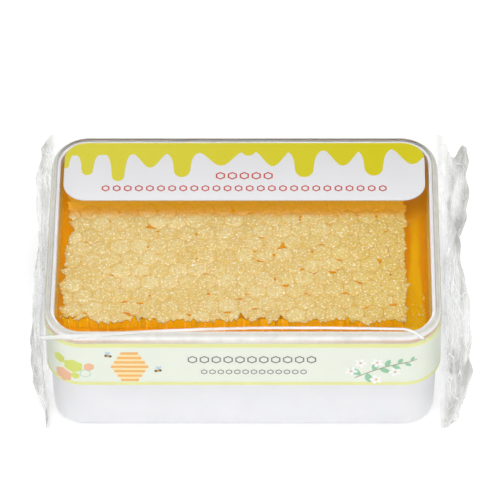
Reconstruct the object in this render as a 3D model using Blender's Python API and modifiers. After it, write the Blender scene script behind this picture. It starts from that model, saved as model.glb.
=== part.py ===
"""A cut of capped honeycomb in a white tub with a deep clear lid, sealed in flow-wrap film.

The box stands on its tub, with its length along X and its front at -Y. The origin is under
the middle of the whole pack, on the surface that it rests on.
"""

import math

import bmesh
import bpy
from mathutils import Matrix, Vector, noise

MM = 0.001
GAP = 0.3 * MM  # between neighbouring pieces

# Film: a thin tube round the box, gathered to a fin at each end
FILM_WALL = 0.3 * MM
FILM_SLACK = 0.6 * MM  # from the lid to the film's inner side, past the labels
FIN_LEFT = 6.2 * MM  # how far each fin stands out from the lid
FIN_RIGHT = 10.2 * MM
FIN_HALF_WIDTH = 41.5 * MM
FIN_HALF_THICKNESS = 0.7 * MM
FIN_HEIGHT = 19.0 * MM
FIN_SOLID = 0.7 * MM  # how much of a fin's tip is film all through
FILM_EDGE = 2.4 * MM
SEAM_SLOT = (80.0 * MM, 1.2 * MM)  # the opening along the film's lower seam
# Stations from the box to a fin's tip: how far along, and how far shut and spread by then
DRAW_IN = ((0.0, 0.0, 0.0), (0.2, 0.16, 0.1), (0.45, 0.5, 0.35), (0.75, 0.88, 0.75), (1.0, 1.0, 1.0))

# Lid
LID_WIDTH = 109.6 * MM
LID_DEPTH = 77.7 * MM
LID_TOP = 39.0 * MM
LID_FOOT = 18.2 * MM
LID_WALL = 1.0 * MM
LID_CORNER = 10.3 * MM
LID_EDGE = 1.6 * MM

# Tub
TUB_LOW = FILM_WALL + GAP
TUB_SHOULDER = LID_FOOT - GAP
TUB_WALL = 1.0 * MM
TUB_FLOOR = 1.2 * MM
TUB_DRAFT = 0.9 * MM
TUB_LEDGE = 0.5 * MM
TUB_FOOT_EDGE = 1.5 * MM

# Comb and honey
COMB_TOP = 35.0 * MM
HONEY_LEVEL = 34.3 * MM
COMB_X = (-50.6 * MM, 45.6 * MM)  # from the box's middle
COMB_Y = (-30.6 * MM, 33.4 * MM)
COMB_CORNER = 2.5 * MM
CELL_PITCH = 5.4 * MM
CELL_TURN = math.radians(2.3)
CELL_START = (0.0, 4.4 * MM)  # the middle of one cell, from the box's middle
CELL_DRIFT = 0.22 * MM  # how far cell corners stray from the regular pattern
CAP_RIM = 0.95 * MM
CAP_RISE = 0.45 * MM
CAP_CROWN = 0.2 * MM
EDGE_STEP = 3.0 * MM
# The knife's wander along a cut edge: height and length of its slow and its quick waves
WANDER = ((0.9 * MM, 9.0 * MM), (0.45 * MM, 3.1 * MM))
# Two places where the edge is broken back: place along its side, half width and depth
FRONT_BITE = (0.52, 2.6 * MM, 2.0 * MM)
LEFT_BAY = (0.42, 13.0 * MM, 1.9 * MM)

# Labels
LABEL_GAP = 0.15 * MM
LABEL_THICKNESS = 0.2 * MM
TOP_LABEL_WIDTH = 102.8 * MM
TOP_LABEL_Y = (12.7 * MM, 36.0 * MM)
TOP_LABEL_CORNER = 6.5 * MM
BAND_LOW = 18.7 * MM
BAND_HIGH = 36.1 * MM

CORNER_SEGMENTS = 8
EDGE_SEGMENTS = 3

BOX_X = (FIN_LEFT - FIN_RIGHT) / 2  # sets the uneven fins evenly about the origin
FLOOR_TOP = TUB_LOW + TUB_FLOOR
COLLAR_WIDTH = LID_WIDTH - 2 * (LID_WALL + GAP)
COLLAR_DEPTH = LID_DEPTH - 2 * (LID_WALL + GAP)
COLLAR_CORNER = LID_CORNER - LID_WALL - GAP
INSIDE_WIDTH = COLLAR_WIDTH - 2 * TUB_WALL
INSIDE_DEPTH = COLLAR_DEPTH - 2 * TUB_WALL
INSIDE_CORNER = COLLAR_CORNER - TUB_WALL
ABOVE = 5 * MM  # how far a cutter runs past the face that it opens


def clear_scene():
    for obj in list(bpy.data.objects):
        bpy.data.objects.remove(obj, do_unlink=True)


def new_collection(name):
    group = bpy.data.collections.new(name)
    bpy.context.scene.collection.children.link(group)
    return group


def principled(name, colour, roughness, transmission=0.0):
    material = bpy.data.materials.new(name)
    material.use_nodes = True
    shader = material.node_tree.nodes["Principled BSDF"]
    shader.inputs["Base Color"].default_value = (*colour, 1.0)
    shader.inputs["Roughness"].default_value = roughness
    shader.inputs["Metallic"].default_value = 0.0
    shader.inputs["Transmission Weight"].default_value = transmission
    return material


def add_object(name, bm, group, material=None):
    bmesh.ops.recalc_face_normals(bm, faces=bm.faces)
    mesh = bpy.data.meshes.new(name)
    bm.to_mesh(mesh)
    bm.free()
    mesh.shade_smooth()
    mesh.set_sharp_from_angle(angle=math.radians(35))
    obj = bpy.data.objects.new(name, mesh)
    group.objects.link(obj)
    if material:
        mesh.materials.append(material)
    return obj


def as_cutter(obj):
    obj.hide_render = True
    obj.display_type = "WIRE"
    return obj


def boolean(obj, cutter, operation):
    modifier = obj.modifiers.new(cutter.name, "BOOLEAN")
    modifier.operation = operation
    modifier.solver = "EXACT"
    modifier.object = cutter


def ring_at(bm, height):
    return [e for e in bm.edges if all(abs(v.co.z - height) < 1e-7 for v in e.verts)]


def round_edges(bm, edges, radius, segments):
    bmesh.ops.bevel(
        bm, geom=edges, offset=radius, segments=segments, profile=0.5, affect="EDGES"
    )


def rounded_block(width, depth, low, high, corner, crown=0.0, foot=0.0, draft=0.0, y=0.0):
    """A box with rounded uprights, and rounded upper or lower edges where asked."""
    bm = bmesh.new()
    bmesh.ops.create_cube(bm, size=1.0)
    bmesh.ops.scale(bm, vec=(width, depth, high - low), verts=bm.verts)
    bmesh.ops.translate(bm, vec=(BOX_X, y, (low + high) / 2), verts=bm.verts)
    uprights = [e for e in bm.edges if abs(e.verts[0].co.z - e.verts[1].co.z) > 1e-7]
    round_edges(bm, uprights, corner, CORNER_SEGMENTS)
    for vertex in bm.verts:
        share = draft * (high - vertex.co.z) / (high - low)
        vertex.co.x -= share * (vertex.co.x - BOX_X) / (width / 2)
        vertex.co.y -= share * (vertex.co.y - y) / (depth / 2)
    if crown:
        round_edges(bm, ring_at(bm, high), crown, EDGE_SEGMENTS)
    if foot:
        round_edges(bm, ring_at(bm, low), foot, EDGE_SEGMENTS)
    return bm


def make_tub(group, cutters, material):
    body = rounded_block(
        COLLAR_WIDTH + 2 * TUB_LEDGE, COLLAR_DEPTH + 2 * TUB_LEDGE, TUB_LOW, TUB_SHOULDER,
        COLLAR_CORNER + TUB_LEDGE, foot=TUB_FOOT_EDGE, draft=TUB_DRAFT,
    )
    tub = add_object("tub", body, group, material)
    collar_top = LID_TOP - LID_WALL - GAP
    collar = rounded_block(
        COLLAR_WIDTH, COLLAR_DEPTH, TUB_SHOULDER - ABOVE, collar_top, COLLAR_CORNER
    )
    inside = rounded_block(
        INSIDE_WIDTH, INSIDE_DEPTH, FLOOR_TOP, collar_top + ABOVE, INSIDE_CORNER
    )
    boolean(tub, as_cutter(add_object("tub_collar", collar, cutters)), "UNION")
    boolean(tub, as_cutter(add_object("tub_inside", inside, cutters)), "DIFFERENCE")


def make_lid(group, material):
    bm = rounded_block(
        LID_WIDTH, LID_DEPTH, LID_FOOT, LID_TOP, LID_CORNER, crown=LID_EDGE
    )
    under = [f for f in bm.faces if all(abs(v.co.z - LID_FOOT) < 1e-7 for v in f.verts)]
    bmesh.ops.delete(bm, geom=under, context="FACES")
    lid = add_object("lid", bm, group, material)
    wall = lid.modifiers.new("wall", "SOLIDIFY")
    wall.thickness = LID_WALL
    wall.offset = -1.0


def ragged(distance, seed):
    """How far the knife's cut strays at this distance along an edge."""
    return sum(
        height * noise.noise(Vector((distance / length, seed, 0.0))) for height, length in WANDER
    )


def broken(distance, side, place, half_width, depth):
    """How far a side of the given length is broken back at this distance along it."""
    reach = abs(distance - place * side) / half_width
    return depth * math.cos(min(reach, 1.0) * math.pi / 2) ** 2


def comb_outline(clearance=0.0):
    """The cut comb's outline, seen from above, anticlockwise from the front left."""
    left, right = COMB_X
    front, back = COMB_Y
    width = right - left
    depth = back - front
    points = []

    def run(length, place):
        count = round((length - 2 * COMB_CORNER) / EDGE_STEP)
        for i in range(count + 1):
            points.append(place(COMB_CORNER + (length - 2 * COMB_CORNER) * i / count))

    def front_cut(s):
        return front + 1.5 * ragged(s, 1) + broken(s, width, *FRONT_BITE) - clearance

    def left_cut(s):
        return left + ragged(s, 4) + broken(depth - s, depth, *LEFT_BAY) - clearance

    run(width, lambda s: (left + s, front_cut(s)))
    run(depth, lambda s: (right + 0.5 * ragged(s, 2) + clearance, front + s))
    run(width, lambda s: (right - s, back + ragged(s, 3) + clearance))
    run(depth, lambda s: (left_cut(s), back - s))
    return points


def outline_prism(name, points, low, high, cutters):
    """A flat outline, filled and given its height, as a closed mesh."""
    flat = bpy.data.curves.new(name, "CURVE")
    flat.dimensions = "2D"
    flat.fill_mode = "BOTH"
    flat.extrude = (high - low) / 2
    spline = flat.splines.new("POLY")
    spline.points.add(len(points) - 1)
    for point, (x, y) in zip(spline.points, points):
        point.co = (x + BOX_X, y, 0.0, 1.0)
    spline.use_cyclic_u = True
    guide = bpy.data.objects.new(name + "_outline", flat)
    guide.location.z = (low + high) / 2
    cutters.objects.link(guide)
    bpy.context.view_layer.update()
    evaluated = guide.evaluated_get(bpy.context.evaluated_depsgraph_get())
    mesh = bpy.data.meshes.new_from_object(evaluated)
    bm = bmesh.new()
    bm.from_mesh(mesh)
    bmesh.ops.transform(bm, matrix=guide.matrix_world, verts=bm.verts)
    bmesh.ops.remove_doubles(bm, verts=bm.verts, dist=1e-6)
    bpy.data.objects.remove(guide)
    bpy.data.meshes.remove(mesh)
    return as_cutter(add_object(name, bm, cutters))


def drifted(point):
    """A cell corner, moved a little by a smooth field, as bees never build quite regularly."""
    field = noise.noise_vector(Vector((point.x, point.y, 0.0)) / (7 * MM))
    return point + CELL_DRIFT * Vector((field.x, field.y, 0.9 * field.z))


def make_comb(group, cutters, material):
    """A sheet of cells grown down into a slab, each with its raised, crowned cap."""
    low = FLOOR_TOP + GAP
    groove = COMB_TOP - CAP_RISE - CAP_CROWN
    row_pitch = CELL_PITCH * math.sqrt(3) / 2
    start = Vector((BOX_X + CELL_START[0], CELL_START[1], low))
    place = Matrix.Translation(start) @ Matrix.Rotation(CELL_TURN, 4, "Z")
    rows = math.ceil((COMB_Y[1] - COMB_Y[0]) / row_pitch / 2) + 2
    columns = math.ceil((COMB_X[1] - COMB_X[0]) / CELL_PITCH / 2) + 2
    bm = bmesh.new()
    for row in range(-rows, rows + 1):
        for column in range(-columns, columns + 1):
            shift = CELL_PITCH * (column + 0.5 * (row % 2))
            cell = place @ Matrix.Translation((shift, row * row_pitch, 0.0))
            bmesh.ops.create_circle(
                bm, cap_ends=True, segments=6, radius=CELL_PITCH / math.sqrt(3), matrix=cell
            )
    bmesh.ops.remove_doubles(bm, verts=bm.verts, dist=0.01 * MM)
    grown = bmesh.ops.extrude_face_region(bm, geom=bm.faces[:])["geom"]
    tops = [item for item in grown if isinstance(item, bmesh.types.BMFace)]
    for vertex in {v for f in tops for v in f.verts}:
        vertex.co.z = groove
        vertex.co = drifted(vertex.co)
    raised = set(tops)
    underside = [f for f in bm.faces if f not in raised and abs(f.normal.z) > 0.5]
    bmesh.ops.dissolve_faces(bm, faces=underside)
    bmesh.ops.recalc_face_normals(bm, faces=bm.faces)
    bmesh.ops.inset_individual(bm, faces=tops, thickness=CAP_RIM, depth=CAP_RISE)
    bmesh.ops.poke(bm, faces=tops, offset=CAP_CROWN)
    comb = add_object("comb", bm, group, material)
    cut = outline_prism("comb_cut", comb_outline(), low - ABOVE, COMB_TOP + ABOVE, cutters)
    boolean(comb, cut, "INTERSECT")


def make_honey(group, cutters, material):
    low = FLOOR_TOP + GAP
    bm = rounded_block(
        INSIDE_WIDTH - 2 * GAP, INSIDE_DEPTH - 2 * GAP, low, HONEY_LEVEL, INSIDE_CORNER - GAP
    )
    honey = add_object("honey", bm, group, material)
    room = outline_prism(
        "comb_room", comb_outline(2 * GAP), low - ABOVE, HONEY_LEVEL + ABOVE, cutters
    )
    boolean(honey, room, "DIFFERENCE")


def make_top_label(group, material):
    front, back = TOP_LABEL_Y
    low = LID_TOP + LABEL_GAP
    bm = rounded_block(
        TOP_LABEL_WIDTH, back - front, low, low + LABEL_THICKNESS, TOP_LABEL_CORNER,
        y=(front + back) / 2,
    )
    add_object("top_label", bm, group, material)


def make_band_label(group, cutters, material):
    def sleeve(reach, low, high):
        return rounded_block(
            LID_WIDTH + 2 * reach, LID_DEPTH + 2 * reach, low, high, LID_CORNER + reach
        )

    outer = LABEL_GAP + LABEL_THICKNESS
    label = add_object("band_label", sleeve(outer, BAND_LOW, BAND_HIGH), group, material)
    room = sleeve(LABEL_GAP, BAND_LOW - ABOVE, BAND_HIGH + ABOVE)
    boolean(label, as_cutter(add_object("band_room", room, cutters)), "DIFFERENCE")


def section(x, half_width, low, high):
    """One cross-section of the film: a rounded rectangle across X."""
    half_height = (high - low) / 2
    corner = min(FILM_EDGE, 0.98 * half_height)
    points = []
    for turn in range(4):
        across = 1 if turn in (0, 3) else -1
        upward = 1 if turn in (0, 1) else -1
        for step in range(CORNER_SEGMENTS + 1):
            angle = math.pi / 2 * (turn + step / CORNER_SEGMENTS)
            y = across * (half_width - corner) + corner * math.cos(angle)
            z = upward * (half_height - corner) + corner * math.sin(angle)
            points.append(Vector((x, y, (low + high) / 2 + z)))
    return points


def film_loft(wall):
    """The film's outside, or its inside when a wall is taken off: a tube drawn in to two fins."""
    half_box = LID_WIDTH / 2 + FILM_SLACK + FILM_WALL
    half_depth = LID_DEPTH / 2 + FILM_SLACK + FILM_WALL
    top = LID_TOP + FILM_SLACK + FILM_WALL
    rings = []
    for side, fin in ((-1, FIN_LEFT), (1, FIN_RIGHT)):
        reach = fin - FILM_SLACK - FILM_WALL - (FIN_SOLID if wall else 0.0)
        end = []
        for along, shut, spread in DRAW_IN:
            out = half_box + along * reach
            low = shut * (FIN_HEIGHT - FIN_HALF_THICKNESS)
            high = top + shut * (FIN_HEIGHT + FIN_HALF_THICKNESS - top)
            wide = half_depth + spread * (FIN_HALF_WIDTH - half_depth)
            end.append(section(BOX_X + side * out, wide - wall, low + wall, high - wall))
        rings += end[::-1] if side < 0 else end
    bm = bmesh.new()
    loops = [[bm.verts.new(p) for p in ring] for ring in rings]
    count = len(loops[0])
    for near, far in zip(loops, loops[1:]):
        for i in range(count):
            bm.faces.new((near[i], near[(i + 1) % count], far[(i + 1) % count], far[i]))
    bm.faces.new(loops[0])
    bm.faces.new(loops[-1])
    return bm


def make_film(group, cutters, material):
    film = add_object("film_wrap", film_loft(0.0), group, material)
    inside = as_cutter(add_object("film_inside", film_loft(FILM_WALL), cutters))
    length, width = SEAM_SLOT
    slot = rounded_block(length, width, -ABOVE, FILM_WALL + GAP / 2, width * 0.45)
    boolean(film, inside, "DIFFERENCE")
    boolean(film, as_cutter(add_object("film_seam", slot, cutters)), "DIFFERENCE")


def main():
    clear_scene()
    parts = new_collection("boxed_honeycomb")
    cutters = new_collection("cutters")
    make_tub(parts, cutters, principled("white_plastic", (0.88, 0.88, 0.9), 0.35))
    make_lid(parts, principled("clear_plastic", (0.95, 0.96, 0.96), 0.05, 1.0))
    make_honey(parts, cutters, principled("honey", (0.75, 0.32, 0.02), 0.08, 0.6))
    make_comb(parts, cutters, principled("wax_caps", (0.85, 0.68, 0.33), 0.5))
    paper = principled("label_paper", (0.86, 0.9, 0.8), 0.45)
    make_top_label(parts, paper)
    make_band_label(parts, cutters, paper.copy())
    make_film(parts, cutters, principled("clear_film", (0.97, 0.97, 0.96), 0.1, 1.0))


main()
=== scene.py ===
"""Looks of a boxed cut of honeycomb: wax caps, honey, tub, clear lid, labels and film."""

import math

import bmesh
import bpy
from mathutils import Matrix, Vector, noise


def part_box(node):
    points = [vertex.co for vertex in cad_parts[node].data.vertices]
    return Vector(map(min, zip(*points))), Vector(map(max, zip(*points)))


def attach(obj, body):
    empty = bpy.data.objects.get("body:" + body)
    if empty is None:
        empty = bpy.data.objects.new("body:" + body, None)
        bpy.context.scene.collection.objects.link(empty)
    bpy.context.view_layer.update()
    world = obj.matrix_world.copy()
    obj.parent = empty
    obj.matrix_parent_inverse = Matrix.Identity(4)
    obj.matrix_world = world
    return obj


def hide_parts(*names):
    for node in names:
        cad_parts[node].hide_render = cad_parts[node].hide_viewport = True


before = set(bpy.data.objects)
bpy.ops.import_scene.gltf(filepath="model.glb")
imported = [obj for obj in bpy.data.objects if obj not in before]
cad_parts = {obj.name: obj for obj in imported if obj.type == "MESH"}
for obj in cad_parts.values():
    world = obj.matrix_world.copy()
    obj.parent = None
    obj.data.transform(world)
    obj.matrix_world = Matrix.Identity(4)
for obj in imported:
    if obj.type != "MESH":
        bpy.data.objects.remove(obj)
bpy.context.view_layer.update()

MM = 0.001

# The solids that the pieces are built around
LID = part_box("lid")
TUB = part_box("tub")
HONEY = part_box("honey")
TOP_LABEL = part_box("top_label")
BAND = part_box("band_label")
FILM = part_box("film_wrap")
MIDDLE_X = (LID[0][0] + LID[1][0]) / 2
LID_HALF = ((LID[1][0] - LID[0][0]) / 2, (LID[1][1] - LID[0][1]) / 2)
LID_CORNER = 10.3 * MM
LID_WALL = 1.0 * MM
COLLAR_INSET = LID_WALL + 0.3 * MM  # from the lid's outside in to the tub's collar
TUB_WALL = 1.0 * MM
TUB_FLOOR = 1.2 * MM

CELL_PITCH = 5.4 * MM
CELL_TURN = math.radians(2.3)
CELL_START = (MIDDLE_X, 4.4 * MM)  # the middle of one cell
COMB_LEFT = MIDDLE_X - 50.6 * MM
COMB_RIGHT = MIDDLE_X + 45.6 * MM
COMB_FRONT = -29.8 * MM
COMB_BACK = 33.4 * MM
COMB_TOP = 35.0 * MM
HONEY_LEVEL = HONEY[1][2]
HONEY_CLEAR = 6.5 * MM
INK = 0.04 * MM
BAND_OUT = BAND[1][0] - MIDDLE_X - LID_HALF[0]
BAND_TOP = BAND[1][2] - 0.6 * MM
LABEL_SHORT = 0.5 * MM  # the top label as printed stops this far short at its back
LABEL_CORNER = 6.5 * MM
FILM_FOLD = -36.7 * MM  # the fold along the film's top front, where a highlight line is painted


# ---------------------------------------------------------------- nodes

class Term:
    """A socket that takes part in arithmetic: each operator adds its Math node."""

    def __init__(self, graph, socket):
        self.graph = graph
        self.socket = socket

    def maths(self, operation, *others):
        return self.graph.maths(operation, self, *others)

    def __add__(self, other):
        return self.maths("ADD", other)

    __radd__ = __add__

    def __sub__(self, other):
        return self.maths("SUBTRACT", other)

    def __rsub__(self, other):
        return self.graph.maths("SUBTRACT", other, self)

    def __mul__(self, other):
        return self.maths("MULTIPLY", other)

    __rmul__ = __mul__

    def __truediv__(self, other):
        return self.maths("DIVIDE", other)

    def __pow__(self, other):
        return self.maths("POWER", other)


class Graph:
    """A node tree, shader or geometry, to which any node is added by one method."""

    def __init__(self, tree):
        self.tree = tree

    def add(self, kind, settings=None, sockets=None):
        node = self.tree.nodes.new(kind)
        for key, value in (settings or {}).items():
            setattr(node, key, value)
        for key, value in (sockets or {}).items():
            self.join(value, node.inputs[key])
        return node

    def term(self, kind, settings=None, sockets=None, output=0):
        return Term(self, self.add(kind, settings, sockets).outputs[output])

    def join(self, value, socket):
        if isinstance(value, Term):
            value = value.socket
        if isinstance(value, bpy.types.NodeSocket):
            self.tree.links.new(value, socket)
        else:
            socket.default_value = value

    def maths(self, operation, *values):
        return self.term("ShaderNodeMath", {"operation": operation}, dict(enumerate(values)))

    def vector_maths(self, operation, *values):
        return self.term("ShaderNodeVectorMath", {"operation": operation}, dict(enumerate(values)))

    def scaled(self, vector, factor):
        settings = {"operation": "SCALE"}
        return self.term("ShaderNodeVectorMath", settings, {0: vector, "Scale": factor})

    def separate(self, vector):
        node = self.add("ShaderNodeSeparateXYZ", {}, {0: vector})
        return [Term(self, socket) for socket in node.outputs]

    def rise(self, value, low, high):
        """0 below low, 1 above high, and smooth between."""
        settings = {"interpolation_type": "SMOOTHSTEP"}
        sockets = {"Value": value, "From Min": low, "From Max": high}
        return self.term("ShaderNodeMapRange", settings, sockets)

    def mix(self, share, first, second):
        return self.term(
            "ShaderNodeMix", {"data_type": "RGBA"}, {0: share, 6: first, 7: second}, output=2
        )


def linear(red, green, blue):
    """A colour given as it looks on a screen, 0 to 255, in linear light."""
    def channel(c):
        c = c / 255
        return c / 12.92 if c <= 0.04045 else ((c + 0.055) / 1.055) ** 2.4
    return (channel(red), channel(green), channel(blue), 1.0)


class Finish(Graph):
    """A material round one Principled shader."""

    def __init__(self, name, **sockets):
        self.material = bpy.data.materials.new(name)
        self.material.use_nodes = True
        super().__init__(self.material.node_tree)
        self.tree.nodes.clear()
        self.output = self.add("ShaderNodeOutputMaterial")
        self.shader = self.add("ShaderNodeBsdfPrincipled")
        self.join(self.shader.outputs[0], self.output.inputs["Surface"])
        self.set(**sockets)

    def set(self, **sockets):
        for key, value in sockets.items():
            self.join(value, self.shader.inputs[key.replace("_", " ")])

    def place(self, scale=(1.0, 1.0, 1.0)):
        """Object coordinates, stretched where a pattern runs with a direction."""
        coordinates = self.add("ShaderNodeTexCoord").outputs["Object"]
        return self.term("ShaderNodeMapping", {}, {"Vector": coordinates, "Scale": scale})

    def axes(self):
        return self.separate(self.place())

    def grain(self, size, detail=2.0, stretch=(1.0, 1.0, 1.0), roughness=0.5):
        """Noise whose features are about size across, from 0 to 1."""
        sockets = {
            "Vector": self.place(stretch), "Scale": 1 / size, "Detail": detail,
            "Roughness": roughness,
        }
        return self.term("ShaderNodeTexNoise", {}, sockets)

    def bump(self, height, depth):
        node = self.add("ShaderNodeBump", {}, {"Height": height, "Distance": depth})
        self.set(Normal=node.outputs[0])

    def attribute(self, name):
        return self.term("ShaderNodeAttribute", {"attribute_name": name}, output="Fac")

    def open_to_lamps(self, tint, shader=None):
        """Lets lamps light what is behind this clear shader."""
        path = self.add("ShaderNodeLightPath").outputs["Is Shadow Ray"]
        clear = self.add("ShaderNodeBsdfTransparent", {}, {"Color": tint})
        sockets = {0: path, 1: (shader or self.shader).outputs[0], 2: clear.outputs[0]}
        self.join(self.add("ShaderNodeMixShader", {}, sockets).outputs[0], self.output.inputs[0])

    def thin(self, cover):
        """Clear skin: the shader covers only this share of what is behind it."""
        clear = self.add("ShaderNodeBsdfTransparent")
        sockets = {0: cover, 1: clear.outputs[0], 2: self.shader.outputs[0]}
        self.join(self.add("ShaderNodeMixShader", {}, sockets).outputs[0], self.output.inputs[0])


# ---------------------------------------------------------------- finishes

def white_plastic():
    """White, with a painted peach reflection of the honey where the thin collar stands above the
    band.
    """
    finish = Finish(
        "white_plastic", Roughness=0.38, Subsurface_Weight=0.1, Subsurface_Scale=0.8 * MM,
    )
    mottle = finish.grain(9 * MM, 3.0)
    white = finish.mix(mottle, linear(229, 229, 233), linear(238, 238, 241))
    z = finish.axes()[2]
    low, high = BAND_TOP - 0.6 * MM, BAND_TOP + 0.9 * MM
    # painted reflection: a peach band of honey colour on the collar's outside, just above the band
    # label
    painted_honey_reflection = finish.rise(z, low, low + 0.4 * MM) - finish.rise(z, high - 0.5 * MM, high + 0.4 * MM)
    painted_honey_reflection = painted_honey_reflection * finish.attribute("outer") * (0.45 + 0.5 * finish.grain(30 * MM, 2.0))
    finish.set(Base_Color=finish.mix(painted_honey_reflection, white, linear(222, 176, 138)))
    finish.bump(finish.grain(0.5 * MM, 2.0), 0.02 * MM)
    return finish.material


def clear_plastic():
    """Clear sheet, milky where it is drawn round the edge and down the sides, with painted shade
    near its top and a painted honey reflection above the band.
    """
    finish = Finish(
        "clear_plastic", Base_Color=(0.985, 0.99, 0.99, 1.0), Roughness=0.02, IOR=1.4,
        Transmission_Weight=1.0,
    )
    finish.bump(finish.grain(14 * MM, 1.0), 0.01 * MM)
    x, _, z = finish.axes()
    off = finish.maths("ABSOLUTE", x - MIDDLE_X) / LID_HALF[0]
    # painted reflection: a peach tint of the honey in the milky wall just above the band label,
    # stronger towards the ends
    painted_honey_reflection = finish.rise(z, BAND_TOP - 0.2 * MM, BAND_TOP + 0.1 * MM)
    painted_honey_reflection = painted_honey_reflection - finish.rise(z, BAND_TOP + 0.6 * MM, BAND_TOP + 1.5 * MM)
    painted_honey_reflection = painted_honey_reflection * (0.2 + 0.7 * off) * (0.7 + 0.5 * finish.grain(14 * MM, 2.0))
    # painted shade: the milk turns a darker cream over the top of the rounded edge
    white = finish.mix(
        finish.rise(z, LID[1][2] - 1.5 * MM, LID[1][2] - 0.5 * MM) * 0.8,
        linear(253, 253, 252), linear(206, 204, 192),
    )
    milk = finish.add("ShaderNodeBsdfPrincipled", {}, {
        "Base Color": finish.mix(painted_honey_reflection, white, linear(224, 178, 140)),
        "Roughness": 0.25,
    })
    share = finish.attribute("drawn") * (0.6 + 0.5 * finish.grain(5 * MM, 2.0))
    share = finish.maths("MINIMUM", share, 0.94)
    sockets = {0: share, 1: finish.shader.outputs[0], 2: milk.outputs[0]}
    both = finish.add("ShaderNodeMixShader", {}, sockets)
    finish.open_to_lamps((0.97, 0.97, 0.97, 1.0), both)
    return finish.material


def clear_honey():
    """Clear honey, deeper in colour where there is more of it."""
    finish = Finish(
        "clear_honey", Base_Color=(1.0, 0.86, 0.3, 1.0), Roughness=0.02, IOR=1.47,
        Transmission_Weight=1.0,
    )
    finish.bump(finish.grain(6 * MM, 2.0), 0.04 * MM)
    volume = finish.add("ShaderNodeVolumeAbsorption", {}, {
        "Color": (0.985, 0.78, 0.2, 1.0), "Density": 35.0,
    })
    finish.join(volume.outputs[0], finish.output.inputs["Volume"])
    finish.open_to_lamps((1.0, 0.88, 0.35, 1.0))
    return finish.material


def deep_honey():
    """Honey past seeing through, with a painted glow: painted gold light where light comes up,
    fading into painted shade under the top label, and amber against the wall.
    """
    # painted light: a faint orange glow, though the honey is no lamp
    finish = Finish(
        "deep_honey", Roughness=0.4, Emission_Color=(1.0, 0.52, 0.01, 1.0), Emission_Strength=0.12,
    )
    x, y, _ = finish.axes()
    swirl = finish.grain(5 * MM, 2.0, stretch=(1.0, 0.3, 1.0))
    across = finish.rise(x, COMB_LEFT, COMB_RIGHT)
    colour = finish.mix(across, linear(240, 190, 8), linear(217, 160, 5))
    colour = finish.mix(swirl * 0.3, colour, linear(238, 190, 14))
    wander = x + (swirl - 0.5) * (4 * MM)
    right = HONEY[1][0]
    # painted light: a gold band for light coming up from the floor near the right wall, wider
    # towards the front
    near = 1.0 - finish.rise(y, -22 * MM, 6 * MM)
    gold = finish.rise(wander + near * (2.5 * MM), right - 5.4 * MM, right - 3.8 * MM)
    gold = gold - finish.rise(wander, right - 2.8 * MM, right - 1.0 * MM)
    # painted shade: the gold fades out towards the back, under the top label
    gold = gold * (1.0 - finish.rise(y, 2 * MM, 22 * MM))
    colour = finish.mix(gold * 0.85, colour, linear(232, 214, 14))
    finish.set(Base_Color=colour)
    return finish.material


def cap_wax():
    """Pale caps, gold along their grooves, with honey standing in the gaps between them."""
    finish = Finish(
        "cap_wax", Emission_Strength=0.4, Subsurface_Weight=0.3,
        Subsurface_Radius=(1.0, 0.6, 0.2), Subsurface_Scale=1.5 * MM,
    )
    groove = finish.attribute("groove")
    tone = finish.attribute("tone")
    x, y, _ = finish.axes()
    across = finish.rise(x, MIDDLE_X, COMB_RIGHT + 6 * MM)
    pale = finish.mix(across, linear(231, 210, 148), linear(222, 194, 102))
    deep = finish.mix(across, linear(219, 185, 102), linear(217, 181, 82))
    blotch = finish.grain(1.3 * MM, 5.0, roughness=0.7)
    patch = finish.grain(11 * MM, 2.0)
    cap = finish.mix(finish.rise(blotch + tone * 0.2 + patch * 0.3, 0.5, 0.95), pale, deep)
    rim = finish.rise(groove, 0.0, 0.7)
    cap = finish.mix(rim * 0.25, cap, linear(228, 190, 98))
    # painted highlight: fine pale specks for light catching the wet wax
    painted_speckle_highlight = finish.rise(finish.grain(0.6 * MM, 3.0), 0.52, 0.68)
    cap = finish.mix(painted_speckle_highlight * 0.8, cap, linear(250, 240, 212))
    line = finish.rise(groove + (finish.grain(0.9 * MM) - 0.5) * 0.5, 0.7, 1.1)
    gold = finish.mix(across, linear(220, 170, 68), linear(194, 138, 26))
    cap = finish.mix(line * 0.75, cap, gold)
    glint = finish.rise(finish.grain(0.6 * MM, 1.0), 0.7, 0.74)
    cap = finish.mix(glint * 0.8, cap, linear(255, 253, 240))
    gap = finish.grain(3.2 * MM, 1.0, stretch=(0.5, 1.7, 0.02)) + across * 0.015
    pool = finish.rise(gap, 0.65, 0.69) * finish.rise(groove, 0.35, 0.6)
    cap = finish.mix(pool, cap, linear(222, 142, 14))
    label_edge = TOP_LABEL[0][1]
    # painted shadow: the caps turn amber as they go in under the top label's front edge, where its
    # shade falls on honey-wet caps
    painted_shadow_on_wet_caps = finish.rise(y, label_edge - 3.6 * MM, label_edge - 0.2 * MM)
    cap = finish.mix(painted_shadow_on_wet_caps * 0.85, cap, linear(226, 152, 8))
    # painted light: an orange glow lifts the shade under the label, though the wax is no lamp
    under_label_painted_glow = finish.rise(y, label_edge - 1.5 * MM, label_edge + 2.5 * MM)
    painted_glow = finish.mix(under_label_painted_glow, (0, 0, 0, 1), (1.0, 0.5, 0.01, 1.0))
    finish.set(Base_Color=cap, Roughness=0.5 - 0.1 * line - 0.35 * pool, Emission_Color=painted_glow)
    finish.bump(finish.grain(1.0 * MM, 5.0, roughness=0.65), 0.38 * MM)
    return finish.material


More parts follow.
